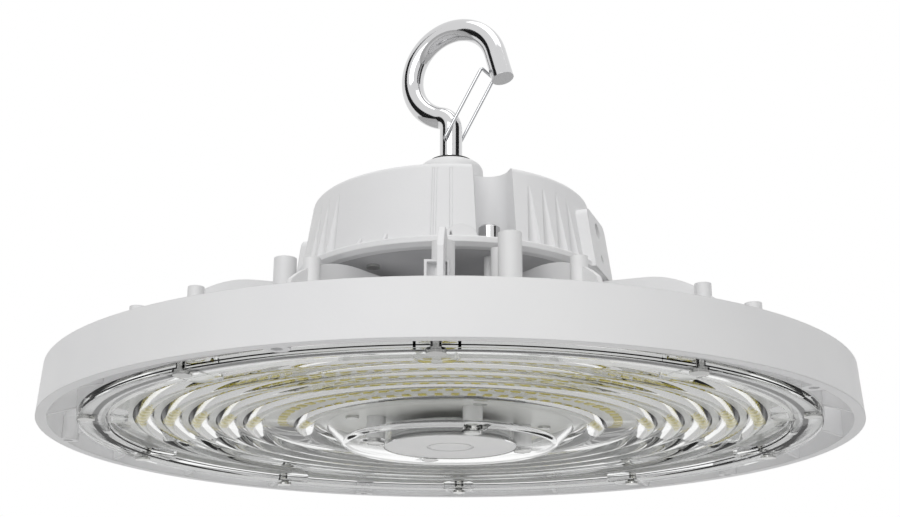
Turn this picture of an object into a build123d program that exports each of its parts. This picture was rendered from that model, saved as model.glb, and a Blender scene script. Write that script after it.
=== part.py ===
from build123d import *
import os
from math import atan2, cos, degrees, hypot, pi, radians, sin, sqrt

# A round LED high bay light, millimetres, +Z up.
# The origin is the middle of the lowest face, the flat of the lens dome.
# Angles are measured from +X towards +Y. The side at -90 degrees faces the viewer.

# Pattern angles, degrees
phase = 16.2
fin_count = 20
lens_screw_count = 10
board_screw_count = 10
post_count = 5

# Rim band of the heat sink
dome_drop = 3.7
rim_r = 170.0
rim_height = 20.4
rim_draft = 1.4
rim_foot = 4.5
rim_lip = 3.0
rim_boss_r = 4.5
rim_boss_hole_r = 1.9
rim_boss_high = 10.0
rim_boss_deep = 8.0
rim_boss_in = 1.5

# Plate, fins, arches and posts of the heat sink
air_slot = 11.0
plate_wall = 3.2
land_width = 9.5
fin_wall = 2.5
fin_gap = 0.3
fin_top_low = 21.0
fin_top_high = 33.0
fin_high_r = 62.0
hub_r = 27.0
hub_bore_r = 20.0
lead_hole_r = 8.0
tall_post_r = 4.7
tall_post_at = 81.6
tall_post_over = 1.2
seat_post_r = 2.7
seat_post_at = 66.0
seat_pin_r = 1.8
seat_pin_at = 54.4
screw_post_r = 3.5
screw_post_at = 48.0
high_arch = ((86.7, 1.4), (105.4, 6.2), (119.5, 17.3))
high_arch_foot = 121.5
short_arch = ((62.0, 4.1), (85.0, 8.2), (100.0, 17.3))
short_arch_foot = 108.0
arch_post_drop = 6.5
short_arch_post_r = 3.5
short_arch_post_at = 88.4
front_post_r = 4.4
front_post_at = 90.1
side_post_r = 3.5
side_post_at = 110.5
clip_at = 96.0
clip_deep = 5.0
clip_wide = 9.6
clip_aside = 1.9
clip_high = 47.8
clip_bore_r = 3.7
clip_rib = 1.6
edge_boss_r = 3.25
edge_boss_in = 22.7
edge_boss_drop = 29.3

# Height of the plane on which the driver housing stands, over the rim's lower edge
seat_height = 64.3

# Lens
lens_edge = 0.5
lens_wall = 2.0
lens_step = 0.3
lens_flange = 3.0
lens_flange_wide = 12.5
lens_rise = 4.4
ridge_half = 4.2
ridge_depth = 1.9
dome_r = 44.5
dome_top_r = 52.5
dome_wall = 4.0
pocket_width = 16.0
pocket_reach = 7.5
pocket_wall = 1.4
pocket_depth = 1.0
seal_clearance = 0.2

# Port cap in the middle of the dome
port_r = 25.0
cap_r = 28.0
cap_flange = 1.2
cap_recess = 0.3
cap_plug = 6.0
cap_fit = 0.2
cap_ring_r = 10.0
cap_ring_wall = 1.2
cap_ring_depth = 0.5

# LED board and packages
board_fit = 1.3
board_wall = 1.6
board_gap = 1.3
board_screw_in = 3.5
inner_screw_at = 42.5
package_long = 3.5
package_wide = 3.0
package_thick = 0.75
package_pitch = 6.3
first_row_gap = 9.6
first_row_step = 9.5
second_row_step = 11.7
row_step = 11.2
row_edge = 13.0

# Screws: shank radius, head radius, head height
lens_screw_in = 3.6
centre_screw_at = 32.3
screw_r = 1.95
screw_hole_r = 2.0
head_r = 3.4
head_high = 1.8
lens_screw_long = 9.0
centre_screw_long = 9.0
small_screw_r = 1.45
small_hole_r = 1.5
small_head_r = 2.8
small_head_high = 1.1
small_screw_long = 5.0
base_screw_long = 8.0
post_screw_long = 11.0
driver_screw_long = 3.2

# Driver housing
drum_foot_r = 66.0
drum_top_r = 60.9
drum_height = 38.0
drum_flange_out = 3.2
drum_flange_chamfer = 1.3
drum_flange_bevel = 2.4
drum_flange_high = 4.0
drum_round = 2.5
drum_wall = 3.3
cavity_top = 4.0
base_in = 3.0
base_wall = 1.8
base_fit = 0.2
housing_gasket_wall = 0.8
housing_gasket_step = 0.9
neck_r = 14.5
neck_height = 22.8
neck_round = 4.0
alcove_r = 8.4
alcove_in = 6.2
alcove_wall = 3.0
alcove_floor = 4.4
flute_foot_r = 3.3
flute_top_r = 0.4
flute_rise = 31.0
lug_half = 15.0
lug_out = 3.6
lug_lean = 3.6
lug_height = 24.0
lug_round = 4.0
lug_hole_r = 3.65
lug_hole_up = 21.3
lug_hole_deep = 8.0
lug_pin_r = 1.85
lug_pin_up = 8.6
lug_pin_deep = 6.0
pilaster_lift = 0.6
pilaster_groove_r = 0.6
pad_half = 6.9
pad_high = 5.4
pad_lift = 1.0
rib_wide = 1.6
rib_high = 3.2

# Vent plug
vent_r = 4.4
vent_height = 7.5
vent_stud_r = 2.5
vent_hole_r = 2.6
vent_out = 1.0

# Cable gland in the rear alcove, left without a cable
gland_flats = 13.0
gland_nut_high = 5.0
gland_cap_r = 6.2
gland_cap_high = 11.0
gland_bore_r = 3.2
gland_stud_r = 4.9
gland_fit = 0.1
gland_seal_wall = 0.8

# Driver and leads
driver_long = 78.0
driver_wide = 46.0
driver_high = 20.0
driver_ear = 7.0
driver_ear_wall = 2.0
lead_r = 1.1
lead_apart = 8.0

# Hook and its gate
rod_r = 5.1
rod_fit = 0.05
hook_turn = -28.0
bowl_r = 22.0
bowl_off = 1.5
stem_free = 16.1
bend_r = 7.0
arm_angle = 15.4
arm_long = 14.2
stem_below = 9.0
washer_r = 9.7
washer_wall = 1.4
washer_fit = 0.2
nut_flats = 17.0
nut_high = 8.0
lock_r = 2.45
lock_fit = 0.05
lock_up = 12.0
wire_r = 0.75
gate_up = 9.5
gate_from_tip = 6.1
gate_gap = 0.35
gate_tail = 5.4
gate_corner = 1.3
gate_hole_fit = 0.08

# Radii that follow from the sizes above
plate_r = rim_r - rim_foot - air_slot
recess_r = plate_r - land_width
lens_r = plate_r - lens_edge
lens_inner = lens_r - lens_flange_wide
lens_screw_at = lens_r - lens_screw_in
pocket_in = lens_inner - pocket_reach
board_r = recess_r - board_fit
board_screw_at = board_r - board_screw_in
edge_boss_at = rim_r - rim_foot - edge_boss_in
cavity_r = drum_top_r - drum_wall
base_r = drum_foot_r - base_in
drum_flange_r = drum_foot_r + drum_flange_out
lug_foot = drum_foot_r + lug_out
alcove_at = drum_top_r - alcove_in
vent_at = alcove_at + vent_out
base_screw_at = cavity_r - small_head_r - 2.8

# Heights that follow from the sizes above
rim_z = dome_drop
seat_z = rim_z + seat_height
lens_z = rim_z + lens_step
flange_top = lens_z + lens_flange
land_z = flange_top + seal_clearance
lens_face = rim_z + lens_rise
lens_back = lens_face + lens_wall
board_z = lens_back + board_gap
floor_z = board_z + board_wall
plate_top = floor_z + plate_wall
ledge_z = seat_z + base_wall + housing_gasket_wall
drum_top = seat_z + drum_height
cavity_roof = drum_top - cavity_top
neck_top = drum_top + neck_height
washer_top = neck_top + washer_wall
alcove_z = seat_z + alcove_floor
draft = degrees(atan2(drum_foot_r - drum_top_r, drum_height - drum_flange_high))


def polar(radius, angle, height=0.0):
    """A point at a radius, an angle and a height."""
    return (radius * cos(radians(angle)), radius * sin(radians(angle)), height)


def rod(radius, low, high, at=(0.0, 0.0, 0.0)):
    """An upright cylinder from one height to another."""
    place = Pos(at[0], at[1], low)
    return place * Cylinder(radius, high - low, align=(Align.CENTER, Align.CENTER, Align.MIN))


def turned(points):
    """A solid of revolution round Z from an outline of (radius, height) points."""
    outline = Polyline([(r, 0, z) for r, z in points], close=True)
    return revolve(make_face(outline), Axis.Z)


def web(edges, thickness):
    """A flat plate in the radial XZ plane, half its thickness each side."""
    return extrude(make_face(edges), amount=thickness / 2, both=True)


def spun(shape, angle):
    """The shape turned round Z."""
    return Rot(0, 0, angle) * shape


def ring_of(shape, angles):
    """Copies of a shape, one at each angle."""
    return [spun(shape, angle) for angle in angles]


def even(count, start):
    """Angles of an even pattern."""
    return [start + k * 360.0 / count for k in range(count)]


lens_angles = even(lens_screw_count, phase)
board_angles = even(board_screw_count, phase + 180.0 / board_screw_count)
centre_angles = even(4, phase)
inner_angles = even(4, phase)
post_angles = even(post_count, phase - 18.0)
high_arch_angles = even(5, phase + 36.0)
short_arch_angles = even(5, phase)
front_post_angles = [phase - 108.0, phase + 108.0]
side_post_angles = [phase - 36.0, phase + 180.0]
edge_boss_angles = [phase - 54.0 + k * 108.0 for k in range(3)] + [phase - 162.0]
flute_angles = (-139.1, -145.8, -152.5, -59.0, -52.2, -45.4, -38.6)
rim_boss_angles = even(5, phase - 126.0)
alcove_angle = phase - 90.0
rear_alcove_angle = phase + 90.0
alcove_angles = [alcove_angle, rear_alcove_angle]
pad_angle = -86.5
groove_angles = (-95.7, -90.0)
foot_rib_angles = (-123.6, -113.4)
lug_angles = [phase - 36.0, phase + 144.0]
screw_post_angles = [a for a in post_angles if abs((a - alcove_angle + 180) % 360 - 180) > 1.0]
base_screw_angles = [phase, phase + 72.0, phase + 144.0, phase + 216.0]
row_one = dome_top_r + first_row_gap
row_two = row_one + first_row_step
row_three = row_two + second_row_step
outer_row_count = int((lens_inner - row_edge - row_three) / row_step) + 1
outer_rows = [row_three + k * row_step for k in range(outer_row_count)]
ridge_rows = [row_one] + outer_rows


def arch_edges(profile, foot_r):
    """Outline of an arched fin: level crest, round shoulder and brow, then a low run to the rim."""
    crest, shoulder, brow = [(r, seat_z - drop) for r, drop in profile]
    rim_in = rim_r - rim_foot + 0.5
    low = plate_top - 1.0
    corner = (shoulder[0], 0, shoulder[1])
    tip = (brow[0], 0, brow[1])
    end = (rim_in, 0, rim_z + rim_height - 2.5)
    valley = (foot_r, 0, fin_top_low + rim_z + 3.0)
    inner = (hub_r - 1.0, 0, crest[1])
    top = (crest[0], 0, crest[1])
    first = Line(inner, top)
    second = TangentArc(top, corner, tangent=(1, 0, 0))
    third = TangentArc(corner, tip, tangent=second % 1)
    fourth = Line(tip, valley)
    fifth = Line(valley, end)
    rest = Polyline(end, (rim_in, 0, low), (hub_r - 1.0, 0, low), inner)
    return [first, second, third, fourth, fifth, rest]


def make_clip():
    """A block before the front post, with a half round pocket open to the front and a thin rib in it."""
    low = plate_top - 1.0
    high = rim_z + clip_high
    corner = (Align.MIN, Align.CENTER, Align.MIN)
    block = Pos(clip_at, 0, low) * Box(clip_deep, clip_wide, high - low, align=corner)
    pocket_round = rod(clip_bore_r, low - 1.0, high - 1.0, (clip_at + clip_deep, 0, 0))
    rib = Pos(clip_at, 0, low) * Box(clip_deep - 1.0, clip_rib, high - low - 3.0, align=corner)
    return Pos(0, -clip_aside, 0) * (block - pocket_round + rib)


def make_heat_sink():
    """One aluminium casting: rim band, plate, fins, arches, posts and bosses."""
    rim_top = rim_z + rim_height
    boss_at = rim_r - rim_foot - rim_boss_in
    band = turned(
        [
            (rim_r, rim_z),
            (rim_r - rim_draft, rim_top),
            (rim_r - rim_draft - rim_lip, rim_top),
            (rim_r - rim_foot, rim_z),
        ]
    )
    plate = turned(
        [
            (0, floor_z),
            (recess_r, floor_z),
            (recess_r, land_z),
            (plate_r, land_z),
            (plate_r, plate_top),
            (0, plate_top),
        ]
    )
    body = band + plate

    # Low webs cross the air slots and run in over the plate.
    rim_in = rim_r - rim_foot + 0.5
    web_outline = Polyline(
        (rim_in, 0, rim_z + fin_gap),
        (plate_r - 1.0, 0, land_z + 0.9),
        (plate_r - 1.0, 0, plate_top - 1.0),
        (hub_r - 1.0, 0, plate_top - 1.0),
        (hub_r - 1.0, 0, rim_z + fin_top_high),
        (fin_high_r, 0, rim_z + fin_top_high),
        (rim_in, 0, rim_z + rim_height - 2.5),
        close=True,
    )
    low_fin = web(web_outline, fin_wall)
    body += ring_of(low_fin, even(fin_count, phase))
    body += ring_of(web(arch_edges(high_arch, high_arch_foot), fin_wall), high_arch_angles)
    body += ring_of(web(arch_edges(short_arch, short_arch_foot), fin_wall), short_arch_angles)

    # Hub, posts and bosses on top
    body += rod(hub_r, plate_top - 1.0, seat_z)
    low = plate_top - 1.0
    posts = [rod(tall_post_r, low, seat_z + tall_post_over, polar(tall_post_at, a)) for a in post_angles]
    posts += [rod(seat_post_r, low, seat_z, polar(seat_post_at, a)) for a in post_angles]
    posts += [rod(seat_pin_r, low, seat_z, polar(seat_pin_at, a)) for a in post_angles]
    posts += [rod(screw_post_r, low, seat_z, polar(screw_post_at, a)) for a in screw_post_angles]
    arch_post_z = seat_z - arch_post_drop
    posts += [
        rod(short_arch_post_r, low, arch_post_z, polar(short_arch_post_at, a)) for a in short_arch_angles
    ]
    posts += [rod(front_post_r, low, arch_post_z, polar(front_post_at, a)) for a in front_post_angles]
    posts += [rod(side_post_r, low, arch_post_z, polar(side_post_at, a)) for a in side_post_angles]
    edge_boss_z = seat_z - edge_boss_drop
    posts += [rod(edge_boss_r, low, edge_boss_z, polar(edge_boss_at, a)) for a in edge_boss_angles]
    posts += [rod(rim_boss_r, rim_z, rim_z + rim_boss_high, polar(boss_at, a)) for a in rim_boss_angles]
    posts += [rod(head_r + 0.6, dome_wall, floor_z + 1.0, polar(centre_screw_at, a)) for a in centre_angles]
    body += posts
    body += spun(make_clip(), front_post_angles[0])

    # Bores
    cuts = [rod(hub_bore_r, plate_top, seat_z + 1.0)]
    cuts += [rod(lead_hole_r, floor_z - 1.0, plate_top + 1.0)]
    screw_tip = lens_z + pocket_depth + lens_screw_long + 0.5
    cuts += [rod(screw_hole_r, land_z - 1.0, screw_tip, polar(lens_screw_at, a)) for a in lens_angles]
    centre_tip = head_high + centre_screw_long + 0.5
    cuts += [
        rod(screw_hole_r, dome_wall - 1.0, centre_tip, polar(centre_screw_at, a)) for a in centre_angles
    ]
    small_tip = board_z + small_screw_long + 0.3
    cuts += [rod(small_hole_r, floor_z - 1.0, small_tip, polar(board_screw_at, a)) for a in board_angles]
    cuts += [rod(small_hole_r, floor_z - 1.0, small_tip, polar(inner_screw_at, a)) for a in inner_angles]
    post_tip = seat_z + base_wall - post_screw_long - 1.0
    cuts += [rod(small_hole_r, post_tip, seat_z + 1.0, polar(screw_post_at, a)) for a in screw_post_angles]
    hole_top = rim_z + rim_boss_deep
    cuts += [rod(rim_boss_hole_r, rim_z - 1.0, hole_top, polar(boss_at, a)) for a in rim_boss_angles]
    groove = rod(recess_r + 3.4, land_z - 1.0, land_z + 1.2)
    groove -= rod(recess_r + 1.2, land_z - 2.0, land_z + 2.0)
    cuts += [groove]
    return body - cuts


def make_lens_gasket():
    """A soft ring in the groove round the board."""
    inner = recess_r + 1.3
    outer = recess_r + 3.3
    return turned([(inner, flange_top), (outer, flange_top), (outer, land_z + 1.2), (inner, land_z + 1.2)])


def lens_outline():
    """Half section of the lens, with round ridges over the rows of packages."""
    dome_back = lens_wall
    under = [Line((lens_r, 0, lens_z), (lens_inner, 0, lens_z))]
    here = (lens_inner, 0, lens_z)
    step = (lens_inner - 0.6, 0, lens_face)
    under.append(Line(here, step))
    here = step
    for row in reversed(ridge_rows):
        start = (row + ridge_half, 0, lens_face)
        end = (row - ridge_half, 0, lens_face)
        if start[0] < here[0]:
            under.append(Line(here, start))
        under.append(ThreePointArc(start, (row, 0, lens_face - ridge_depth), end))
        here = end
    corner = (dome_top_r, 0, lens_face)
    lip = (dome_r, 0, 0)
    port = (cap_r + cap_fit, 0, 0)
    shelf = (cap_r + cap_fit, 0, cap_recess + cap_flange)
    inner = (port_r, 0, cap_recess + cap_flange)
    collar = (port_r, 0, dome_back + cap_plug)
    rest = Polyline(
        here,
        corner,
        lip,
        port,
        shelf,
        inner,
        collar,
        (port_r + 1.6, 0, dome_back + cap_plug),
        (port_r + 1.6, 0, cap_recess + cap_flange + lens_wall),
        (dome_r - 1.2, 0, cap_recess + cap_flange + lens_wall),
        (dome_top_r - 0.8, 0, lens_back),
        (lens_inner + lens_wall, 0, lens_back),
        (lens_inner + lens_wall, 0, flange_top),
        (lens_r, 0, flange_top),
        (lens_r, 0, lens_z),
    )
    return under + [rest]


def pocket(half, inner, low, high, outer=lens_r - 0.4):
    """A U shaped block, round at its inner end, that points in along the radius."""
    block = Pos(inner + half, 0, low) * Box(
        outer - inner - half,
        2 * half,
        high - low,
        align=(Align.MIN, Align.CENTER, Align.MIN),
    )
    return block + rod(half, low, high, (inner + half, 0, 0))


def make_lens():
    """One clear moulding."""
    body = revolve(make_face(lens_outline()), Axis.Z)
    half = pocket_width / 2
    outer = pocket(half, pocket_in, lens_z, flange_top)
    inner_half = half - pocket_wall
    inner_from = pocket_in + pocket_wall
    inner = pocket(inner_half, inner_from, lens_z - 1.0, lens_z + pocket_depth, lens_r + 1.0)
    body += ring_of(outer, lens_angles)
    body += [rod(head_r + 0.6, 0.0, dome_wall, polar(centre_screw_at, a)) for a in centre_angles]
    cuts = ring_of(inner, lens_angles)
    cuts += [rod(screw_r + 0.2, lens_z, flange_top + 1.0, polar(lens_screw_at, a)) for a in lens_angles]
    cuts += [rod(screw_r + 0.2, 0.0, dome_wall + 1.0, polar(centre_screw_at, a)) for a in centre_angles]
    cuts += [rod(head_r + 0.2, -1.0, head_high + 0.1, polar(centre_screw_at, a)) for a in centre_angles]
    return body - cuts


def screw(radius, long, head, high, at, seat, up=True):
    """A screw whose head bears on a seat; its shank points up, or down."""
    if up:
        return rod(head, seat - high, seat, at) + rod(radius, seat - high / 2, seat + long, at)
    return rod(head, seat, seat + high, at) + rod(radius, seat - long, seat + high / 2, at)


def make_lens_screws():
    """Ten pan head screws through the lens flange."""
    seat = lens_z + pocket_depth
    return [
        screw(screw_r, lens_screw_long, head_r, head_high, polar(lens_screw_at, a), seat)
        for a in lens_angles
    ]


def make_centre_screws():
    """Four screws through the dome into the heat sink's bosses."""
    seat = head_high + 0.1
    return [
        screw(screw_r, centre_screw_long, head_r, head_high, polar(centre_screw_at, a), seat)
        for a in centre_angles
    ]


def make_board_screws(radius, angles):
    """Screws that hold the board to the plate."""
    return [
        screw(small_screw_r, small_screw_long, small_head_r, small_head_high, polar(radius, a), board_z)
        for a in angles
    ]


def make_port_cap():
    """A white cap that closes the sensor port, with a raised ring on its face."""
    face = cap_recess
    plug_top = lens_wall + cap_plug
    back = face + cap_flange
    plug = port_r - 0.1
    groove_low = back + 1.5
    cap = turned(
        [
            (0, face),
            (cap_ring_r - cap_ring_wall, face),
            (cap_ring_r - cap_ring_wall, face + cap_ring_depth),
            (cap_ring_r, face + cap_ring_depth),
            (cap_ring_r, face),
            (cap_r, face),
            (cap_r, back),
            (plug, back),
            (plug, groove_low),
            (plug - 1.5, groove_low),
            (plug - 1.5, groove_low + 2.0),
            (plug, groove_low + 2.0),
            (plug, plug_top),
            (plug - 2.5, plug_top),
            (plug - 2.5, back + 0.8),
            (0, back + 0.8),
        ]
    )
    return cap


def make_port_seal():
    """A square cord seal in the plug's groove."""
    inner = port_r - 1.6
    low = cap_recess + cap_flange + 1.5
    return turned([(inner, low), (port_r, low), (port_r, low + 2.0), (inner, low + 2.0)])


def make_board():
    """The white LED board, with holes for its screws and for the heat sink's bosses."""
    disc = rod(board_r, board_z, floor_z)
    hole_r = small_hole_r + 0.2
    cuts = [rod(hole_r, board_z - 1, floor_z + 1, polar(board_screw_at, a)) for a in board_angles]
    cuts += [rod(hole_r, board_z - 1, floor_z + 1, polar(inner_screw_at, a)) for a in inner_angles]
    cuts += [rod(head_r + 0.8, board_z - 1, floor_z + 1, polar(centre_screw_at, a)) for a in centre_angles]
    return disc - cuts


def make_packages():
    """Concentric rings of LED packages, long side along the radius."""
    packages = []
    for radius in [row_one, row_two] + outer_rows:
        package = Pos(radius, 0, board_z - package_thick) * Box(
            package_long,
            package_wide,
            package_thick,
            align=(Align.CENTER, Align.CENTER, Align.MIN),
        )
        packages += ring_of(package, even(round(2 * pi * radius / package_pitch), phase))
    return packages


def drum_wall_r(height):
    """Outer radius of the drum's sloping wall at a height."""
    share = (height - seat_z - drum_flange_high) / (drum_height - drum_flange_high)
    return drum_foot_r - (drum_foot_r - drum_top_r) * share


def flute(angle):
    """A pocket in the drum's wall that runs out to nothing at the top."""
    low = seat_z + drum_flange_high
    cone = Cone(flute_foot_r, flute_top_r, flute_rise, align=(Align.CENTER, Align.CENTER, Align.MIN))
    return spun(Pos(drum_foot_r + 0.6, 0, low) * Rot(0, -draft, 0) * cone, angle)


def make_lug():
    """A flat pad with a sloping face, for a bracket."""
    low = seat_z + drum_flange_chamfer
    top = seat_z + drum_flange_high + lug_height
    outline = Polyline(
        (cavity_r - 2.0, 0, low),
        (lug_foot, 0, low),
        (lug_foot - lug_lean, 0, top),
        (cavity_r - 2.0, 0, top),
        close=True,
    )
    pad = web(outline, 2 * lug_half)
    crest = [e for e in pad.edges() if abs(e.center().Z - top) < 0.01]
    corners = [e for e in crest if abs(abs(e.center().Y) - lug_half) < 0.01]
    return fillet(corners, lug_round)


def make_foot_pad():
    """A half round pad on the drum's wall, standing on the flange."""
    base = seat_z + drum_flange_high - 0.5
    start = (drum_top_r, -pad_half, base)
    middle = (drum_top_r, 0, base + pad_high + 0.5)
    end = (drum_top_r, pad_half, base)
    face = make_face([ThreePointArc(start, middle, end), Line(end, start)])
    return extrude(face, amount=drum_foot_r + pad_lift - drum_top_r, dir=(1, 0, 0))


def make_foot_rib():
    """A small triangular rib in the corner of wall and flange."""
    base = seat_z + drum_flange_high
    outline = Polyline(
        (drum_foot_r - 2.0, 0, base - 0.5),
        (drum_flange_r - 0.8, 0, base - 0.5),
        (drum_foot_r - 0.4, 0, base + rib_high),
        (drum_foot_r - 2.0, 0, base + rib_high),
        close=True,
    )
    return web(outline, rib_wide)


def wall_groove():
    """A fine round groove up the drum's wall, through the raised strip."""
    low = seat_z + drum_flange_high
    bar = Cylinder(pilaster_groove_r, drum_height, align=(Align.CENTER, Align.CENTER, Align.MIN))
    return Pos(drum_foot_r + pilaster_lift + 0.15, 0, low) * Rot(0, -draft, 0) * bar


def make_driver_housing():
    """A tapered drum casting with a neck for the hook, an alcove, flutes and two lugs."""
    flange_top_z = seat_z + drum_flange_high
    outer = turned(
        [
            (0, seat_z),
            (drum_flange_r - drum_flange_bevel, seat_z),
            (drum_flange_r, seat_z + drum_flange_chamfer),
            (drum_flange_r, flange_top_z - 0.6),
            (drum_flange_r - 0.6, flange_top_z),
            (drum_foot_r, flange_top_z),
            (drum_top_r, drum_top),
            (0, drum_top),
        ]
    )
    rim = outer.edges().filter_by(GeomType.CIRCLE).sort_by(Axis.Z)[-1]
    outer = fillet(rim, drum_round)
    neck = rod(neck_r, drum_top - 1.0, neck_top)
    neck = fillet(neck.edges().filter_by(GeomType.CIRCLE).sort_by(Axis.Z)[-1], neck_round)
    lugs = ring_of(make_lug(), lug_angles)
    pilaster = revolve(
        make_face(
            Polyline(
                (drum_foot_r - 4.0, 0, flange_top_z - 0.5),
                (drum_foot_r + pilaster_lift, 0, flange_top_z - 0.5),
                (drum_top_r + pilaster_lift + 0.3, 0, drum_top - drum_round),
                (drum_top_r - 4.0, 0, drum_top - drum_round),
                close=True,
            )
        ),
        Axis.Z,
        17.5,
    )
    body = outer + neck + lugs + spun(pilaster, -97.0)
    body += spun(make_foot_pad(), pad_angle)
    body += ring_of(make_foot_rib(), foot_rib_angles)
    body -= [spun(wall_groove(), a) for a in groove_angles]
    body -= [flute(a) for a in flute_angles]

    # Cavity with a wall round the alcove, bosses for the base screws and a sunk seat for the base
    cavity = turned(
        [
            (0, ledge_z),
            (cavity_r, ledge_z),
            (cavity_r, cavity_roof),
            (0, cavity_roof),
        ]
    )
    cell_r = alcove_r + alcove_wall
    cell = rod(cell_r, ledge_z, cavity_roof, (alcove_at, 0, 0))
    past_wall = drum_flange_r - alcove_at + 1.0
    cell += Pos(alcove_at, 0, ledge_z) * Box(
        past_wall, 2 * cell_r, cavity_roof - ledge_z, align=(Align.MIN, Align.CENTER, Align.MIN)
    )
    cavity -= ring_of(cell, alcove_angles)
    cavity -= [rod(3.5, ledge_z, cavity_roof, polar(base_screw_at, a)) for a in base_screw_angles]
    body -= cavity
    body -= rod(base_r + base_fit, seat_z - 1.0, ledge_z)

    notch = rod(alcove_r, alcove_z, neck_top, (alcove_at, 0, 0))
    notch += Pos(alcove_at, 0, alcove_z) * Box(
        past_wall, 2 * alcove_r, neck_top - alcove_z, align=(Align.MIN, Align.CENTER, Align.MIN)
    )
    body -= ring_of(notch, alcove_angles)

    # Holes
    body -= rod(rod_r + rod_fit, cavity_roof - 1.0, neck_top + 1.0)
    body -= rod(vent_hole_r, ledge_z - 1.0, alcove_z + 1.0, polar(vent_at, alcove_angle))
    gland_place = polar(alcove_at, rear_alcove_angle)
    body -= rod(gland_stud_r + gland_fit, ledge_z - 1.0, alcove_z + 1.0, gland_place)
    body -= [
        rod(small_hole_r, ledge_z - 1.0, seat_z + base_wall + base_screw_long + 1.0, polar(base_screw_at, a))
        for a in base_screw_angles
    ]
    for a in lug_angles:
        for up, radius, deep in ((lug_hole_up, lug_hole_r, lug_hole_deep), (lug_pin_up, lug_pin_r, lug_pin_deep)):
            height = seat_z + up
            face = lug_face_r(height)
            bore = Pos(face - deep, 0, height) * Rot(0, 90, 0) * Cylinder(
                radius, deep + 10.0, align=(Align.CENTER, Align.CENTER, Align.MIN)
            )
            body -= spun(bore, a)
    lock = Pos(0, 0, drum_top + lock_up) * Rot(-90, 0, 0) * Cylinder(
        lock_r + lock_fit, neck_r + 1.0, align=(Align.CENTER, Align.CENTER, Align.MIN)
    )
    return body - lock


def lug_face_r(height):
    """Distance of a lug's face from the axis at a height."""
    low = seat_z + drum_flange_chamfer
    top = seat_z + drum_flange_high + lug_height
    return lug_foot - lug_lean * (height - low) / (top - low)


def make_housing_base():
    """The disc under the drum."""
    disc = rod(base_r, seat_z, seat_z + base_wall)
    cuts = [rod(lead_hole_r, seat_z - 1, ledge_z)]
    hole_r = small_hole_r + 0.1
    cuts += [rod(hole_r, seat_z - 1, ledge_z, polar(base_screw_at, a)) for a in base_screw_angles]
    cuts += [rod(hole_r, seat_z - 1, ledge_z, polar(screw_post_at, a)) for a in screw_post_angles]
    cuts += [rod(small_hole_r, seat_z + 0.5, ledge_z, polar(ear_at, a)) for a in (phase, phase + 180.0)]
    return disc - cuts


def make_housing_gasket():
    """A flat ring between the base and the drum's ledge."""
    top = ledge_z
    low = seat_z + base_wall
    housing_gasket_in = cavity_r + housing_gasket_step
    housing_gasket_out = base_r - 0.1
    return turned(
        [
            (housing_gasket_in, low),
            (housing_gasket_out, low),
            (housing_gasket_out, top),
            (housing_gasket_in, top),
        ]
    )


def make_base_screws():
    """Screws from below that draw the base up to the drum."""
    return [
        screw(
            small_screw_r,
            base_screw_long + base_wall,
            small_head_r,
            small_head_high,
            polar(base_screw_at, a),
            seat_z,
        )
        for a in base_screw_angles
    ]


def make_post_screws():
    """Screws inside the drum that hold the base down on the posts."""
    seat = seat_z + base_wall
    return [
        screw(
            small_screw_r,
            post_screw_long,
            small_head_r,
            small_head_high,
            polar(screw_post_at, a),
            seat,
            up=False,
        )
        for a in screw_post_angles
    ]


ear_at = driver_long / 2 + driver_ear / 2


def make_driver():
    """The potted driver, a block with an ear at each end."""
    low = seat_z + base_wall
    block = Pos(0, 0, low) * Box(
        driver_long, driver_wide, driver_high, align=(Align.CENTER, Align.CENTER, Align.MIN)
    )
    block = fillet(block.edges().filter_by(Axis.Z), 3.0)
    ears = Pos(0, 0, low) * Box(
        driver_long + 2 * driver_ear,
        12.0,
        driver_ear_wall,
        align=(Align.CENTER, Align.CENTER, Align.MIN),
    )
    body = block + ears
    body -= [rod(small_hole_r + 0.1, low - 1, low + 5, (x, 0, 0)) for x in (ear_at, -ear_at)]
    return spun(body, phase)


def make_driver_screws():
    """Two screws through the driver's ears into the base."""
    seat = seat_z + base_wall + driver_ear_wall
    return [
        screw(
            small_screw_r,
            driver_screw_long,
            small_head_r,
            small_head_high,
            polar(ear_at, a),
            seat,
            up=False,
        )
        for a in (phase, phase + 180.0)
    ]


def make_leads():
    """Two insulated leads from the driver down to the back of the board."""
    low = floor_z
    high = seat_z + base_wall
    return [rod(lead_r, low, high, (x, 0, 0)) for x in (lead_apart / 2, -lead_apart / 2)]


def make_vent_plug():
    """A chromed cap on a hollow stud that lets the housing breathe."""
    seat = alcove_z + 0.8
    at = polar(vent_at, alcove_angle)
    head = turned(
        [
            (0, seat),
            (vent_r, seat),
            (vent_r, seat + 0.9),
            (vent_r - 0.35, seat + 1.2),
            (vent_r, seat + 1.5),
            (vent_r, seat + vent_height - 0.8),
            (vent_r - 0.8, seat + vent_height),
            (0, seat + vent_height),
        ]
    )
    stud = rod(vent_stud_r, ledge_z + 0.2, seat + 1.0)
    return Pos(at[0], at[1], 0) * (head + stud)


def make_vent_seal():
    """A rubber ring under the vent plug."""
    at = polar(vent_at, alcove_angle)
    low = alcove_z
    high = low + 0.8
    outer = vent_r - 0.2
    ring = turned([(vent_hole_r, low), (outer, low), (outer, high), (vent_hole_r, high)])
    return Pos(at[0], at[1], 0) * ring


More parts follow.
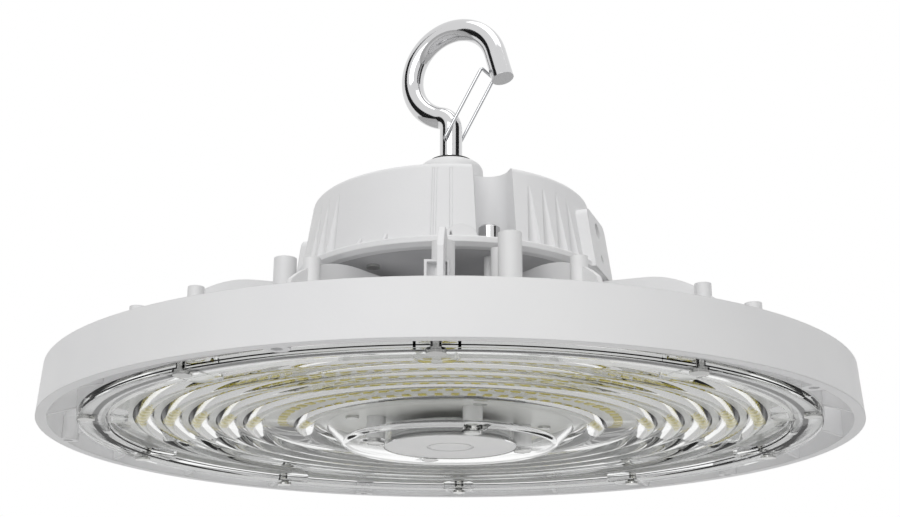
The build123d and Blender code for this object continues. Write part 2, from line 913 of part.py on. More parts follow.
def make_cable_gland():
    """The cable inlet in the rear alcove: hexagon, round cap and hollow stud."""
    low = alcove_z + gland_seal_wall
    nut_top = low + gland_nut_high
    cap_top = low + gland_cap_high
    nut = Pos(0, 0, low) * extrude(RegularPolygon(gland_flats / 2, 6, major_radius=False), gland_nut_high)
    cap = turned(
        [
            (0, nut_top - 1.0),
            (gland_cap_r, nut_top - 1.0),
            (gland_cap_r, cap_top - 2.5),
            (gland_cap_r - 2.2, cap_top),
            (0, cap_top),
        ]
    )
    body = nut + cap + rod(gland_stud_r, ledge_z + 0.2, low + 1.0)
    body -= rod(gland_bore_r, ledge_z - 1.0, cap_top + 1.0)
    return spun(Pos(alcove_at, 0, 0) * body, rear_alcove_angle)


def make_gland_seal():
    """A rubber ring under the gland."""
    low = alcove_z
    high = low + gland_seal_wall
    inner = gland_stud_r + gland_fit
    ring = turned([(inner, low), (gland_cap_r, low), (gland_cap_r, high), (inner, high)])
    return spun(Pos(alcove_at, 0, 0) * ring, rear_alcove_angle)


def hook_path():
    """Centre line of the hook in the XZ plane: stem, reverse bend, bowl and straight arm."""
    span = bowl_r + bend_r
    bend_z = washer_top + stem_free
    centre = (bowl_off, bend_z + sqrt(span**2 - (bowl_off + bend_r) ** 2))
    toward = ((bowl_off + bend_r) / span, (centre[1] - bend_z) / span)
    join = (-bend_r + bend_r * toward[0], bend_z + bend_r * toward[1])
    start = (0, 0, cavity_roof - stem_below)
    bend = (0, 0, bend_z)
    joined = (join[0], 0, join[1])
    leave = radians(arm_angle)
    rise = (centre[0] + bowl_r * cos(leave), 0, centre[1] + bowl_r * sin(leave))
    left = (centre[0] - bowl_r, 0, centre[1])
    tip = (rise[0] + arm_long * sin(leave), 0, rise[2] - arm_long * cos(leave))
    mid = radians(0.5 * degrees(atan2(toward[1], toward[0])))
    knee = (-bend_r + bend_r * cos(mid), 0, bend_z + bend_r * sin(mid))
    return [
        Line(start, bend),
        ThreePointArc(bend, knee, joined),
        ThreePointArc(joined, left, rise),
        Line(rise, tip),
    ]


def make_hook():
    """One bent rod, with a cross hole for the gate."""
    path = Wire(hook_path())
    section = Plane(origin=path @ 0, z_dir=path % 0) * Circle(rod_r)
    bar = sweep(section, path=path)
    hole = Pos(0, 0, washer_top + gate_up) * Rot(90, 0, 0) * Cylinder(wire_r + gate_hole_fit, 4 * rod_r)
    return spun(bar - hole, hook_turn)


def gate_reach():
    """Place of the closed gate's bar, from the pivot: it lies against the inside of the arm."""
    tip = hook_path()[-1] @ 1
    leave = radians(arm_angle)
    along = (-sin(leave), cos(leave))
    inward = (-cos(leave), -sin(leave))
    off = rod_r + wire_r + gate_gap
    reach_x = tip.X + gate_from_tip * along[0] + off * inward[0]
    reach_z = tip.Z + gate_from_tip * along[1] + off * inward[1]
    return (reach_x, reach_z - washer_top - gate_up)


def make_gate():
    """A bent spring wire: two tails in the stem's cross hole, two legs and a bar."""
    side = rod_r + gate_corner
    reach = gate_reach()
    gate_long = hypot(reach[0], reach[1])
    lean = degrees(atan2(reach[0], reach[1]))
    points = [
        (0, -side + gate_tail, 0),
        (0, -side, 0),
        (0, -side, gate_long),
        (0, side, gate_long),
        (0, side, 0),
        (0, side - gate_tail, 0),
    ]
    path = FilletPolyline(points, radius=gate_corner)
    section = Plane(origin=path @ 0, z_dir=path % 0) * Circle(wire_r)
    wire = sweep(section, path=path)
    place = Pos(0, 0, washer_top + gate_up) * Rot(0, lean, 0)
    return spun(place * wire, hook_turn)


def make_hook_washer():
    """A black rubber washer on the neck."""
    low = neck_top
    inner = rod_r + washer_fit
    high = low + washer_wall
    return turned([(inner, low), (washer_r, low), (washer_r, high), (inner, high)])


def make_hook_nut():
    """A hexagon nut under the drum's roof."""
    low = cavity_roof - nut_high
    blank = Pos(0, 0, low) * extrude(RegularPolygon(nut_flats / 2, 6, major_radius=False), nut_high)
    return blank - rod(rod_r + rod_fit, low - 1, cavity_roof + 1)


def make_lock_screw():
    """A set screw in the back of the neck that keeps the hook from turning."""
    start = rod_r + rod_fit
    return Pos(0, start, drum_top + lock_up) * Rot(-90, 0, 0) * Cylinder(
        lock_r, neck_r - 0.8 - start, align=(Align.CENTER, Align.CENTER, Align.MIN)
    )


def save(name, shape):
    """Write one sub-part; a list becomes one group of separate solids."""
    if isinstance(shape, list):
        shape = Compound(children=[s for part in shape for s in part.solids()])
    export_step(shape, "parts/" + name + ".step")


os.makedirs("parts", exist_ok=True)
save("heat_sink", make_heat_sink())
save("lens_gasket", make_lens_gasket())
save("lens", make_lens())
save("lens_screws", make_lens_screws())
save("centre_screws", make_centre_screws())
save("board_screws", make_board_screws(board_screw_at, board_angles))
save("inner_board_screws", make_board_screws(inner_screw_at, inner_angles))
save("port_cap", make_port_cap())
save("port_seal", make_port_seal())
save("led_board", make_board())
save("led_packages", make_packages())
save("driver_housing", make_driver_housing())
save("housing_base", make_housing_base())
save("housing_gasket", make_housing_gasket())
save("base_screws", make_base_screws())
save("post_screws", make_post_screws())
save("driver", make_driver())
save("driver_screws", make_driver_screws())
save("led_leads", make_leads())
save("vent_plug", make_vent_plug())
save("vent_seal", make_vent_seal())
save("cable_gland", make_cable_gland())
save("gland_seal", make_gland_seal())
save("hook", make_hook())
save("hook_gate", make_gate())
save("hook_washer", make_hook_washer())
save("hook_nut", make_hook_nut())
save("hook_lock_screw", make_lock_screw())
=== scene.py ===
# %% [markdown]
# # A round LED high bay light
# This lesson dresses a high bay light, the kind that hangs from the ceiling of a hall.
# The solids of the light are loaded first. They give every place and size, in metres,
# with +Z up and the flat of the lens dome at Z = 0.
# Pieces whose solids already have the right shape only get a better material. Pieces that
# need finer work, such as the clear lens, are made again here and stand for their solid.

# %% Load the light
import math

import bmesh
import bpy
from mathutils import Matrix, Vector


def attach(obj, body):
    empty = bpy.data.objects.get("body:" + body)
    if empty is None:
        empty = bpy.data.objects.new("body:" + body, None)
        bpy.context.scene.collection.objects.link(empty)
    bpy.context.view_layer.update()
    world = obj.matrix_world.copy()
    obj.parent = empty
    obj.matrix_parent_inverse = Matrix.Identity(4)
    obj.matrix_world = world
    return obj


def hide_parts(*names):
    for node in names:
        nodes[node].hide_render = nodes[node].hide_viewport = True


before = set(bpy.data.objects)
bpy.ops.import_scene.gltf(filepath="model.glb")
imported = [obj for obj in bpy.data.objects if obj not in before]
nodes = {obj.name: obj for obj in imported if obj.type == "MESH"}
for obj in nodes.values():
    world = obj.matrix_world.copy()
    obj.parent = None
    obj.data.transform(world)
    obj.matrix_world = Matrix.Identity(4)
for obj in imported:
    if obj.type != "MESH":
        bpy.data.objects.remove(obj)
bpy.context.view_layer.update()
MM = 0.001
print("nodes:", len(nodes))

# %% [markdown]
# ## The camera
# The light is seen from below and in front, as somebody in the hall would see it.
# The camera stands 0.58 m in front of the axis and 0.11 m under the lens, and looks up by
# 18 degrees.

# %% Camera
camera_data = bpy.data.cameras.new("camera")
camera_data.sensor_width = 36.0
camera_data.lens = 55.469
camera_data.clip_start = 0.01
camera_data.clip_end = 50.0
camera = bpy.data.objects.new("camera", camera_data)
bpy.context.scene.collection.objects.link(camera)
look = Vector((-0.000109, 0.951017, 0.309140)).normalized()
right = Vector((0.999996, -0.000774, 0.002732)).normalized()
up = right.cross(look).normalized()
turn = Matrix((right, up, -look)).transposed()
camera.matrix_world = Matrix.Translation((-0.000248, -0.584604, -0.105540)) @ turn.to_4x4()
bpy.context.scene.camera = camera
print("camera pitch:", round(math.degrees(math.asin(look.z)), 2))

# %% [markdown]
# ## A few helpers
# Most pieces of this light are turned, so a small pen draws half of an outline with
# bmesh operators: a vertex is extruded for a straight run, and spun for an arc. The whole
# outline is then spun round Z, which leaves clean rings.

# %% Helpers for meshes


def new_piece(name, bm, material=None, smooth=True):
    """Turn a bmesh into an object at the origin."""
    mesh = bpy.data.meshes.new(name)
    bm.to_mesh(mesh)
    bm.free()
    piece = bpy.data.objects.new(name, mesh)
    bpy.context.scene.collection.objects.link(piece)
    if material is not None:
        for one in material if isinstance(material, list) else [material]:
            mesh.materials.append(one)
    if smooth:
        mesh.shade_smooth()
    return piece


class Pen:
    """Draws an outline in the XZ plane, in millimetres."""

    def __init__(self, bm, radius, height):
        self.bm = bm
        self.at = bm.verts.new((radius * MM, 0, height * MM))

    def line(self, radius, height):
        made = bmesh.ops.extrude_vert_indiv(self.bm, verts=[self.at])
        self.at = made["verts"][0]
        self.at.co = (radius * MM, 0, height * MM)
        return self

    def arc(self, radius, height, degrees, steps=6):
        made = bmesh.ops.spin(
            self.bm,
            geom=[self.at],
            cent=(radius * MM, 0, height * MM),
            axis=(0, 1, 0),
            angle=math.radians(degrees),
            steps=steps,
        )
        self.at = [v for v in made["geom_last"] if isinstance(v, bmesh.types.BMVert)][0]
        return self


def turn_outline(bm, steps):
    """Spin what was drawn round Z and close it."""
    bmesh.ops.remove_doubles(bm, verts=bm.verts, dist=1e-7)
    bmesh.ops.spin(
        bm,
        geom=bm.verts[:] + bm.edges[:],
        cent=(0, 0, 0),
        axis=(0, 0, 1),
        angle=math.tau,
        steps=steps,
        use_merge=True,
    )
    bmesh.ops.remove_doubles(bm, verts=bm.verts, dist=1e-7)
    bmesh.ops.recalc_face_normals(bm, faces=bm.faces)


def sharp_edges(bm, degrees=30):
    """Mark the hard corners, so that smooth shading stops at them."""
    limit = math.radians(degrees)
    for edge in bm.edges:
        if len(edge.link_faces) == 2 and edge.calc_face_angle() > limit:
            edge.smooth = False


def polar(radius, degrees, height=0.0):
    """A point in metres from a radius, an angle and a height in millimetres."""
    a = math.radians(degrees)
    return Vector((radius * math.cos(a) * MM, radius * math.sin(a) * MM, height * MM))


def even(count, start):
    """Angles of an even pattern."""
    return [start + k * 360.0 / count for k in range(count)]


PHASE = 16.2
LENS_SCREWS = even(10, PHASE)
CENTRE_SCREWS = even(4, PHASE)

# %% [markdown]
# ## Materials
# Every finish is made of nodes on Object coordinates, so a pattern keeps its real size.
# The helper makes a Principled shader with a fine bump and a slight drift of roughness,
# which is what tells paint, rubber and moulded plastic apart under soft light.

# %% Helpers for materials


def srgb(r, g, b):
    """A colour written as 0 to 255, turned into the linear numbers the shader wants."""
    out = []
    for v in (r, g, b):
        v = v / 255
        out.append(v / 12.92 if v <= 0.04045 else ((v + 0.055) / 1.055) ** 2.4)
    return (*out, 1.0)


def base_material(name, color, roughness, metallic=0.0):
    """A material with a Principled shader, its nodes and its links."""
    mat = bpy.data.materials.new(name)
    mat.use_nodes = True
    tree = mat.node_tree
    shader = tree.nodes["Principled BSDF"]
    shader.inputs["Base Color"].default_value = color
    shader.inputs["Roughness"].default_value = roughness
    shader.inputs["Metallic"].default_value = metallic
    return mat, tree, shader


def noise(tree, scale, detail=2.0, stretch=None):
    """A noise texture on Object coordinates."""
    where = tree.nodes.new("ShaderNodeTexCoord")
    texture = tree.nodes.new("ShaderNodeTexNoise")
    texture.inputs["Scale"].default_value = scale
    texture.inputs["Detail"].default_value = detail
    source = where.outputs["Object"]
    if stretch is not None:
        mapping = tree.nodes.new("ShaderNodeMapping")
        mapping.inputs["Scale"].default_value = stretch
        tree.links.new(source, mapping.inputs["Vector"])
        source = mapping.outputs["Vector"]
    tree.links.new(source, texture.inputs["Vector"])
    return texture.outputs["Fac"]


def spread(tree, source, low, high):
    """Map 0.3 to 0.7 of a noise to a range."""
    node = tree.nodes.new("ShaderNodeMapRange")
    node.inputs["From Min"].default_value = 0.3
    node.inputs["From Max"].default_value = 0.7
    node.inputs["To Min"].default_value = low
    node.inputs["To Max"].default_value = high
    tree.links.new(source, node.inputs["Value"])
    return node.outputs["Result"]


def add_bump(tree, shader, source, strength, distance, under=None):
    """Feed a height into the shader's normal."""
    bump = tree.nodes.new("ShaderNodeBump")
    bump.inputs["Strength"].default_value = strength
    bump.inputs["Distance"].default_value = distance
    tree.links.new(source, bump.inputs["Height"])
    if under is not None:
        tree.links.new(under, bump.inputs["Normal"])
    tree.links.new(bump.outputs["Normal"], shader.inputs["Normal"])
    return bump


def soft_edges(tree, radius):
    """Rounded looking edges on a casting, by the shader's own bevel."""
    node = tree.nodes.new("ShaderNodeBevel")
    node.samples = 4
    node.inputs["Radius"].default_value = radius
    return node.outputs["Normal"]


def tone(tree, shader, source, dark, light):
    """A slow drift between two close colours."""
    ramp = tree.nodes.new("ShaderNodeValToRGB")
    ramp.color_ramp.elements[0].position = 0.35
    ramp.color_ramp.elements[0].color = dark
    ramp.color_ramp.elements[1].position = 0.65
    ramp.color_ramp.elements[1].color = light
    tree.links.new(source, ramp.inputs["Fac"])
    tree.links.new(ramp.outputs["Color"], shader.inputs["Base Color"])


# %% [markdown]
# ### Powder coat
# The castings are powder coated: a white satin with a very fine orange peel. The bump is
# the peel, of about a millimetre, laid over the softly rounded edges of the shader's bevel.

# %% Powder coat
powder, tree, shader = base_material("powder_coat", srgb(232, 232, 233), 0.46)
shader.inputs["Specular IOR Level"].default_value = 0.42
tone(tree, shader, noise(tree, 14.0, 3.0), srgb(230, 230, 231), srgb(234, 234, 234))
tree.links.new(spread(tree, noise(tree, 60.0, 4.0), 0.42, 0.52), shader.inputs["Roughness"])
add_bump(tree, shader, noise(tree, 900.0, 2.0), 0.10, 0.0004, soft_edges(tree, 0.0006))

# %% [markdown]
# ### Base plate paint
# The disc under the driver drum is a pressed plate with a slightly rougher grey paint.

# %% Grey paint
grey_paint, tree, shader = base_material("grey_paint", srgb(196, 196, 198), 0.55)
tone(tree, shader, noise(tree, 40.0, 4.0), srgb(190, 190, 192), srgb(200, 200, 201))
add_bump(tree, shader, noise(tree, 1500.0, 3.0), 0.25, 0.0003, soft_edges(tree, 0.0004))

# %% [markdown]
# ### Metals
# The hook is chromed, so it is a mirror with a trace of grime. The gate is drawn spring
# wire, and the screws are zinc plated and a little duller than the hook.

# %% Metals
chrome, tree, shader = base_material("chrome_plate", srgb(208, 208, 209), 0.06, 1.0)
tree.links.new(spread(tree, noise(tree, 90.0, 4.0), 0.035, 0.10), shader.inputs["Roughness"])
add_bump(tree, shader, noise(tree, 220.0, 2.0), 0.02, 0.0003, soft_edges(tree, 0.0003))

wire_steel, tree, shader = base_material("wire_steel", srgb(205, 206, 208), 0.16, 1.0)
drawn = noise(tree, 300.0, 3.0, (1, 1, 0.1))
tree.links.new(spread(tree, drawn, 0.12, 0.22), shader.inputs["Roughness"])
add_bump(tree, shader, noise(tree, 2500.0, 2.0, (1, 1, 0.08)), 0.05, 0.0001)

screw_steel, tree, shader = base_material("screw_steel", srgb(208, 208, 206), 0.2, 1.0)
tree.links.new(spread(tree, noise(tree, 500.0, 3.0), 0.14, 0.26), shader.inputs["Roughness"])
add_bump(tree, shader, noise(tree, 1800.0, 2.0), 0.05, 0.0001, soft_edges(tree, 0.0002))

# %% [markdown]
# ### Rubber, plastic and board
# The washer is black rubber. The cap in the lens is a white moulding. The board carries a
# white solder mask, whose gloss is low. The LED packages are phosphor yellow, apart from a
# thin pale step round the window of each.

# %% Rubber and plastics
black_rubber, tree, shader = base_material("black_rubber", srgb(20, 20, 21), 0.55)
tree.links.new(spread(tree, noise(tree, 400.0, 3.0), 0.45, 0.62), shader.inputs["Roughness"])
add_bump(tree, shader, noise(tree, 1200.0, 2.0), 0.12, 0.0002)

grey_rubber, tree, shader = base_material("grey_rubber", srgb(160, 160, 161), 0.6)
tree.links.new(spread(tree, noise(tree, 300.0, 3.0), 0.52, 0.68), shader.inputs["Roughness"])
add_bump(tree, shader, noise(tree, 900.0, 2.0), 0.12, 0.0002)

cap_plastic, tree, shader = base_material("cap_plastic", srgb(236, 236, 236), 0.38)
tone(tree, shader, noise(tree, 30.0, 3.0), srgb(233, 233, 233), srgb(238, 238, 237))
add_bump(tree, shader, noise(tree, 1600.0, 2.0), 0.10, 0.0002, soft_edges(tree, 0.0004))

solder_mask, tree, shader = base_material("solder_mask", srgb(238, 238, 234), 0.3)
tone(tree, shader, noise(tree, 50.0, 3.0), srgb(235, 235, 231), srgb(240, 240, 237))
add_bump(tree, shader, noise(tree, 700.0, 2.0), 0.05, 0.0002)

package_frame, tree, shader = base_material("package_frame", srgb(236, 234, 222), 0.4)
tone(tree, shader, noise(tree, 60.0, 2.0), srgb(233, 231, 216), srgb(238, 237, 226))
add_bump(tree, shader, noise(tree, 1500.0, 2.0), 0.05, 0.0001)

phosphor, tree, shader = base_material("phosphor", srgb(224, 208, 52), 0.35)
tone(tree, shader, noise(tree, 70.0, 3.0), srgb(218, 200, 40), srgb(229, 214, 64))
add_bump(tree, shader, noise(tree, 3000.0, 2.0), 0.08, 0.0001)

dark_shell, tree, shader = base_material("dark_shell", srgb(58, 58, 60), 0.45)
tree.links.new(spread(tree, noise(tree, 200.0, 3.0), 0.4, 0.55), shader.inputs["Roughness"])
add_bump(tree, shader, noise(tree, 900.0, 2.0), 0.1, 0.0002, soft_edges(tree, 0.0006))

lead_cover, tree, shader = base_material("lead_cover", srgb(214, 214, 210), 0.45)
tree.links.new(spread(tree, noise(tree, 300.0, 3.0), 0.4, 0.5), shader.inputs["Roughness"])
add_bump(tree, shader, noise(tree, 900.0, 2.0), 0.06, 0.0002)

# %% [markdown]
# ### Clear polycarbonate
# The lens is a Principled shader with full transmission. Its index of refraction is far
# below the 1.58 of real polycarbonate: seen as flat as this, a real index makes the ridges
# mirror the room and hides the LEDs. That index was chosen. Lamps would throw hard caustics
# through the lens, so a shadow ray passes straight through: the light path's shadow output
# mixes in a Transparent shader.

# %% Clear lens material
clear, tree, shader = base_material("clear_polycarbonate", (0.985, 0.99, 0.985, 1.0), 0.015)
shader.inputs["Transmission Weight"].default_value = 1.0
shader.inputs["IOR"].default_value = 1.14
output = tree.nodes["Material Output"]
see = tree.nodes.new("ShaderNodeBsdfTransparent")
see.inputs["Color"].default_value = (0.95, 0.95, 0.95, 1.0)
path = tree.nodes.new("ShaderNodeLightPath")
mix = tree.nodes.new("ShaderNodeMixShader")
tree.links.new(path.outputs["Is Shadow Ray"], mix.inputs[0])
tree.links.new(shader.outputs["BSDF"], mix.inputs[1])
tree.links.new(see.outputs["BSDF"], mix.inputs[2])
tree.links.new(mix.outputs["Shader"], output.inputs["Surface"])
print("materials:", len(bpy.data.materials))

# %% [markdown]
# ## Finishes for the solids
# A solid that already has the right shape keeps it. Its object's slots get the finish.

# %% Give each solid its finish
FINISH = {
    "heat_sink": powder,
    "driver_housing": powder,
    "housing_base": grey_paint,
    "lens": clear,
    "lens_gasket": grey_rubber,
    "port_seal": grey_rubber,
    "housing_gasket": grey_rubber,
    "vent_seal": black_rubber,
    "hook_washer": black_rubber,
    "port_cap": cap_plastic,
    "led_board": solder_mask,
    "led_packages": phosphor,
    "driver": dark_shell,
    "cable_gland": black_rubber,
    "gland_seal": black_rubber,
    "led_leads": lead_cover,
    "hook": chrome,
    "vent_plug": chrome,
    "hook_gate": wire_steel,
}
for name, node in nodes.items():
    finish = FINISH.get(name, screw_steel)
    node.data.materials.clear()
    node.data.materials.append(finish)
print("finished solids:", len(nodes))

# %% [markdown]
# ## The lens
# The lens is one clear moulding: a flat flange with ten screw pockets, ridges over six of
# the seven rings of LEDs, and a low dome with a hole in its middle for a sensor port.
# Refraction shows every facet, so it is spun again here in fine steps.

# %% Lens outline
RIM_Z = 3.7
LENS_R = 154.0
FLANGE_Z = RIM_Z + 0.3
FLANGE_TOP = FLANGE_Z + 3.0
FACE_Z = RIM_Z + 4.4
BACK_Z = FACE_Z + 2.0
ROWS = (128.1, 116.9, 105.7, 94.5, 83.3, 71.6, 62.1)
RIDGES = (128.1, 116.9, 105.7, 94.5, 83.3, 62.1)
RIDGE_HALF = 4.2
RIDGE_DEEP = 1.9
PORT_R = 25.0
CAP_R = 28.2


def draw_ridge(pen, row):
    """One round ridge: an arc through its two feet and its crest."""
    radius = (RIDGE_HALF**2 + RIDGE_DEEP**2) / (2 * RIDGE_DEEP)
    half = math.degrees(math.asin(RIDGE_HALF / radius))
    pen.line(row + RIDGE_HALF, FACE_Z)
    pen.arc(row, FACE_Z - RIDGE_DEEP + radius, 2 * half, 10)


bm = bmesh.new()
pen = Pen(bm, LENS_R, FLANGE_TOP)
pen.line(LENS_R, FLANGE_Z + 0.4).line(LENS_R - 0.4, FLANGE_Z)
pen.line(142.1, FLANGE_Z).line(141.6, FLANGE_Z + 0.3).line(141.1, FACE_Z - 0.4).line(140.6, FACE_Z)
for row in RIDGES:
    draw_ridge(pen, row)
pen.line(53.3, FACE_Z).line(52.2, FACE_Z - 0.5)
pen.line(45.3, 0.6).line(44.0, 0.0)
pen.line(CAP_R, 0.0).line(CAP_R, 1.5).line(PORT_R, 1.5).line(PORT_R, 8.0)
pen.line(PORT_R + 1.6, 8.0).line(PORT_R + 1.6, 3.5)
pen.line(43.6, 3.5).line(44.6, 4.0).line(51.2, BACK_Z - 0.4).line(52.0, BACK_Z)
pen.line(143.2, BACK_Z).line(143.5, BACK_Z - 0.3)
pen.line(143.5, FLANGE_TOP).line(LENS_R, FLANGE_TOP)
turn_outline(bm, 240)
lens = new_piece("clear_lens", bm, clear, smooth=False)
print("lens faces:", len(lens.data.polygons))

# %% [markdown]
# ### Screw pockets
# At each of the ten screws the flange dips into a pocket that is shaped like a U, open to
# the rim. A Boolean joins the ten blocks to the lens, and a second one takes out the
# pockets, the screw holes and the seats of the four middle screws.

# %% Screw pockets
POCKET_HALF = 8.0
POCKET_WALL = 1.4
POCKET_IN = 134.0
POCKET_DEEP = 1.6
LENS_SCREW_R = 150.4
CENTRE_SCREW_R = 32.3
SCREW_HOLE_R = 1.7
HEAD_HOLE_R = 3.7
BOSS_R = 4.1


def add_pocket(bm, degrees, half, inner, outer, low, high):
    """A block that is round at its inner end, drawn as an outline and pushed up."""
    inner_arc = inner + half
    start = bm.verts.new((outer * MM, -half * MM, low * MM))
    made = bmesh.ops.extrude_vert_indiv(bm, verts=[start])
    turn_at = made["verts"][0]
    turn_at.co = (inner_arc * MM, -half * MM, low * MM)
    arc = bmesh.ops.spin(
        bm,
        geom=[turn_at],
        cent=(inner_arc * MM, 0, low * MM),
        axis=(0, 0, 1),
        angle=-math.pi,
        steps=14,
    )
    last = [v for v in arc["geom_last"] if isinstance(v, bmesh.types.BMVert)][0]
    made = bmesh.ops.extrude_vert_indiv(bm, verts=[last])
    end = made["verts"][0]
    end.co = (outer * MM, half * MM, low * MM)
    bm.edges.new((end, start))
    ring = [start]
    edge = start.link_edges[0]
    while True:
        after = edge.other_vert(ring[-1])
        if after == start:
            break
        ring.append(after)
        edge = [e for e in after.link_edges if e != edge][0]
    face = bm.faces.new(ring)
    made = bmesh.ops.extrude_face_region(bm, geom=[face])
    top = [v for v in made["geom"] if isinstance(v, bmesh.types.BMVert)]
    bmesh.ops.translate(bm, verts=top, vec=(0, 0, (high - low) * MM))
    turning = Matrix.Rotation(math.radians(degrees), 3, "Z")
    bmesh.ops.rotate(bm, verts=ring + top, cent=(0, 0, 0), matrix=turning)


def add_rod(bm, radius, low, high, at, steps=32):
    """A plain round rod along Z."""
    middle = Matrix.Translation((at.x, at.y, (low + high) / 2 * MM))
    bmesh.ops.create_cone(
        bm,
        cap_ends=True,
        segments=steps,
        radius1=radius * MM,
        radius2=radius * MM,
        depth=(high - low) * MM,
        matrix=middle,
    )


def cut_with(target, bm, operation):
    """Join to, or cut from, the target what the bmesh holds."""
    bmesh.ops.recalc_face_normals(bm, faces=bm.faces)
    tool = new_piece("tool", bm, smooth=False)
    step = target.modifiers.new(operation.lower(), "BOOLEAN")
    step.operation = operation
    step.solver = "EXACT"
    step.object = tool
    bpy.context.view_layer.update()
    graph = bpy.context.evaluated_depsgraph_get()
    result = bpy.data.meshes.new_from_object(target.evaluated_get(graph))
    target.modifiers.clear()
    target.data = result
    bpy.data.objects.remove(tool, do_unlink=True)


bm = bmesh.new()
for degrees in LENS_SCREWS:
    low = FLANGE_Z + 0.02
    high = FLANGE_TOP - 0.02
    add_pocket(bm, degrees, POCKET_HALF, POCKET_IN, LENS_R - 0.4, low, high)
for degrees in CENTRE_SCREWS:
    add_rod(bm, BOSS_R, 0.05, 3.9, polar(CENTRE_SCREW_R, degrees))
cut_with(lens, bm, "UNION")
bm = bmesh.new()
for degrees in LENS_SCREWS:
    inner = POCKET_IN + POCKET_WALL
    half = POCKET_HALF - POCKET_WALL
    add_pocket(bm, degrees, half, inner, LENS_R + 1.0, FLANGE_Z - 1.0, FLANGE_Z + POCKET_DEEP)
    add_rod(bm, SCREW_HOLE_R, FLANGE_Z, FLANGE_TOP + 1.0, polar(LENS_SCREW_R, degrees), 24)
for degrees in CENTRE_SCREWS:
    add_rod(bm, HEAD_HOLE_R, -1.0, 2.3, polar(CENTRE_SCREW_R, degrees))
    add_rod(bm, SCREW_HOLE_R, 1.0, 5.0, polar(CENTRE_SCREW_R, degrees), 24)
cut_with(lens, bm, "DIFFERENCE")
bm = bmesh.new()
bm.from_mesh(lens.data)
bmesh.ops.remove_doubles(bm, verts=bm.verts, dist=1e-6)
for face in bm.faces:
    face.smooth = True
sharp_edges(bm, 35)
bm.to_mesh(lens.data)
bm.free()
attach(lens, "light")
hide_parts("lens")
print("lens faces with pockets:", len(lens.data.polygons))

# %% [markdown]
# ## The LED packages
# Each ring carries small yellow packages. One is made from a cube whose front face is inset
# twice, and the same is done round each ring. The narrow ring of faces that the second
# inset makes keeps the pale frame material, and all other faces are phosphor.

# %% LED packages
BOARD_Z = BACK_Z + 1.3
PACKAGE_HIGH = 0.75
PACKAGE_STEP = 6.3
PACKAGE_LONG = 3.5
PACKAGE_WIDE = 3.0


def add_package(bm, radius, degrees):
    """One package, its window facing down."""
    place = Matrix.Rotation(math.radians(degrees), 4, "Z") @ Matrix.Translation(
        (radius * MM, 0, (BOARD_Z - PACKAGE_HIGH / 2) * MM)
    )
    size = Matrix.Diagonal((PACKAGE_LONG * MM, PACKAGE_WIDE * MM, PACKAGE_HIGH * MM, 1))
    made = bmesh.ops.create_cube(bm, size=1.0, matrix=place @ size)
    faces = {f for v in made["verts"] for f in v.link_faces}
    front = min(faces, key=lambda f: f.calc_center_median().z)
    bmesh.ops.inset_individual(bm, faces=[front], thickness=0.25 * MM, depth=0.0)
    bmesh.ops.inset_individual(bm, faces=[front], thickness=0.12 * MM, depth=-0.10 * MM)
    for face in {f for v in made["verts"] for f in v.link_faces}:
        face.material_index = 1
    front.material_index = 1


bm = bmesh.new()
for row in ROWS:
    for degrees in even(round(math.tau * row / PACKAGE_STEP), PHASE):
        add_package(bm, row, degrees)
packages = new_piece("packages", bm, [package_frame, phosphor], smooth=False)
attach(packages, "light")
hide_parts("led_packages")
print("package faces:", len(packages.data.polygons))

# %% [markdown]
# ## Studio light
# The backdrop is white. The camera sees it, and so do the metal and the glass, which are
# told apart from the rest by the light path. Only the soft light that falls on paint is
# weaker, so the castings keep their shading.

# %% World
world = bpy.data.worlds.new("studio")
bpy.context.scene.world = world
world.use_nodes = True
tree = world.node_tree
tree.nodes.clear()
white_back = tree.nodes.new("ShaderNodeBackground")
white_back.inputs["Color"].default_value = (1, 1, 1, 1)
white_back.inputs["Strength"].default_value = 1.0
soft_back = tree.nodes.new("ShaderNodeBackground")
soft_back.inputs["Color"].default_value = (1, 1, 1, 1)
soft_back.inputs["Strength"].default_value = 0.62
path = tree.nodes.new("ShaderNodeLightPath")
seen = tree.nodes.new("ShaderNodeMath")
seen.operation = "MAXIMUM"
tree.links.new(path.outputs["Is Camera Ray"], seen.inputs[0])
tree.links.new(path.outputs["Is Transmission Ray"], seen.inputs[1])
also = tree.nodes.new("ShaderNodeMath")
also.operation = "MAXIMUM"
tree.links.new(seen.outputs["Value"], also.inputs[0])
tree.links.new(path.outputs["Is Glossy Ray"], also.inputs[1])
mix = tree.nodes.new("ShaderNodeMixShader")
tree.links.new(also.outputs["Value"], mix.inputs[0])
tree.links.new(soft_back.outputs["Background"], mix.inputs[1])
tree.links.new(white_back.outputs["Background"], mix.inputs[2])
world_out = tree.nodes.new("ShaderNodeOutputWorld")
tree.links.new(mix.outputs["Shader"], world_out.inputs["Surface"])
print("world nodes:", len(tree.nodes))

# %% Lamps


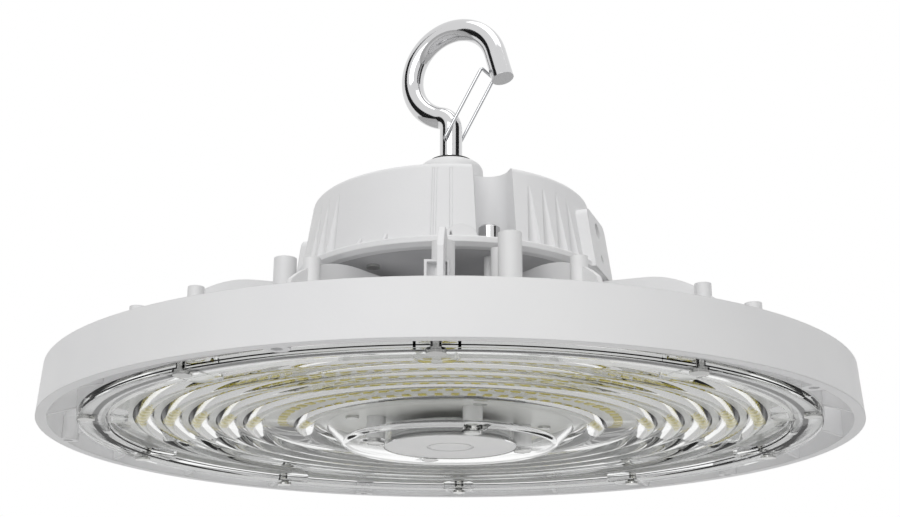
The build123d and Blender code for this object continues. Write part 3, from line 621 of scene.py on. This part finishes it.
def add_lamp(name, place, target, size, power):
    """A square area lamp that looks at a point."""
    data = bpy.data.lights.new(name, "AREA")
    data.shape = "SQUARE"
    data.size = size
    data.energy = power
    lamp = bpy.data.objects.new(name, data)
    bpy.context.scene.collection.objects.link(lamp)
    aim = Vector(target) - Vector(place)
    turned = aim.to_track_quat("-Z", "Y").to_matrix().to_4x4()
    lamp.matrix_world = Matrix.Translation(place) @ turned
    return lamp


add_lamp("lamp_front", (-0.5, -2.2, 0.6), (0, 0, 0.05), 1.6, 16.0)
add_lamp("lamp_top", (0.4, -0.4, 2.2), (0, 0, 0.05), 1.8, 14.0)
print("lamps:", len(bpy.data.lights))

# %% [markdown]
# ## Floor and dark cards
# The light hangs, so the plain pale floor lies well below it. A photographer sets black
# cards on both sides of chrome: without them a polished rod in a white room has no shape.
# The camera and the light that passes through the lens don't see them.

# %% Floor and cards
bm = bmesh.new()
below = Matrix.Translation((0, 0, -1.2))
bmesh.ops.create_grid(bm, x_segments=1, y_segments=1, size=6.0, matrix=below)
floor_paint, tree, shader = base_material("floor_paint", srgb(236, 236, 236), 0.9)
floor = new_piece("floor", bm, floor_paint, smooth=False)

card_black, tree, shader = base_material("card_black", srgb(14, 14, 15), 0.9)


def add_card(name, azimuth, distance, wide, low, high):
    """An upright card that faces the axis of the light."""
    bm = bmesh.new()
    a = math.radians(azimuth)
    out = Vector((math.cos(a), math.sin(a), 0)) * distance
    side = Vector((-math.sin(a), math.cos(a), 0)) * wide / 2
    corners = [out - side, out + side, out + side, out - side]
    heights = [low, low, high, high]
    bm.faces.new([bm.verts.new((c.x, c.y, z)) for c, z in zip(corners, heights)])
    card = new_piece(name, bm, card_black, smooth=False)
    card.visible_camera = False
    card.visible_transmission = False
    return card


add_card("card_right", -20.0, 1.4, 1.1, -0.2, 1.2)
add_card("card_left", -168.0, 1.4, 0.8, -0.2, 1.2)
print("stage ready")

# %% View transform
bpy.context.scene.view_settings.view_transform = "Standard"
bpy.context.view_layer.update()
